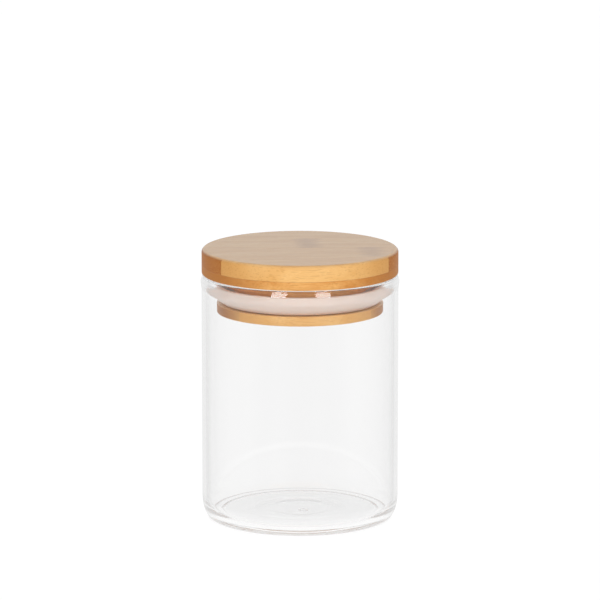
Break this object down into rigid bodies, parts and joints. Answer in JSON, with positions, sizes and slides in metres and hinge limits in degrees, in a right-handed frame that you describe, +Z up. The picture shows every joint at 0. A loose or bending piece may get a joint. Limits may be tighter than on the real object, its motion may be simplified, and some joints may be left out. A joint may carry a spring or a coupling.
{
  "type": "food canister",
  "caption": "Clear cylindrical glass storage jar with a laminated bamboo plug lid and a flared silicone sealing ring.",
  "frame": {"origin": "centre of the jar's footprint, on the plane it stands on", "axes": "+Z up along the jar's axis; the bamboo grain runs along X; the front is -Y"},
  "size_m": [0.101, 0.101, 0.1385],
  "materials": {
    "clear_glass": "clear, fire-polished",
    "seal_silicone": "translucent off-white silicone, satin",
    "bamboo_pale": "pale bamboo, sanded and oiled",
    "bamboo_honey": "honey bamboo, sanded and oiled"
  },
  "bodies": {
    "jar": {"glass_jar": "clear_glass"},
    "seal": {"silicone_seal_ring": "seal_silicone"},
    "lid": {"cap_top_strip_front": "bamboo_pale", "cap_top_strip_mid_front": "bamboo_honey", "cap_top_strip_mid_rear": "bamboo_honey", "cap_top_strip_rear": "bamboo_pale", "cap_lower_strip_front": "bamboo_honey", "cap_lower_strip_mid_front": "bamboo_honey", "cap_lower_strip_mid_rear": "bamboo_honey", "cap_lower_strip_rear": "bamboo_honey", "plug_land_strip_front": "bamboo_honey", "plug_land_strip_mid_front": "bamboo_honey", "plug_land_strip_mid_rear": "bamboo_honey", "plug_land_strip_rear": "bamboo_honey", "plug_groove_strip_front": "bamboo_honey", "plug_groove_strip_mid_front": "bamboo_honey", "plug_groove_strip_mid_rear": "bamboo_honey", "plug_groove_strip_rear": "bamboo_honey", "plug_foot_strip_front": "bamboo_pale", "plug_foot_strip_mid_front": "bamboo_honey", "plug_foot_strip_mid_rear": "bamboo_honey", "plug_foot_strip_rear": "bamboo_pale"}
  },
  "joints": [
    {"name": "lid_lift", "type": "slide", "parent": "jar", "child": "seal", "axis": [0, 0, 1], "range_m": [0, 0.06]},
    {"name": "lid_twist", "type": "hinge", "parent": "seal", "child": "lid", "pos_m": [0, 0, 0.1259], "axis": [0, 0, 1], "continuous": true}
  ]
}
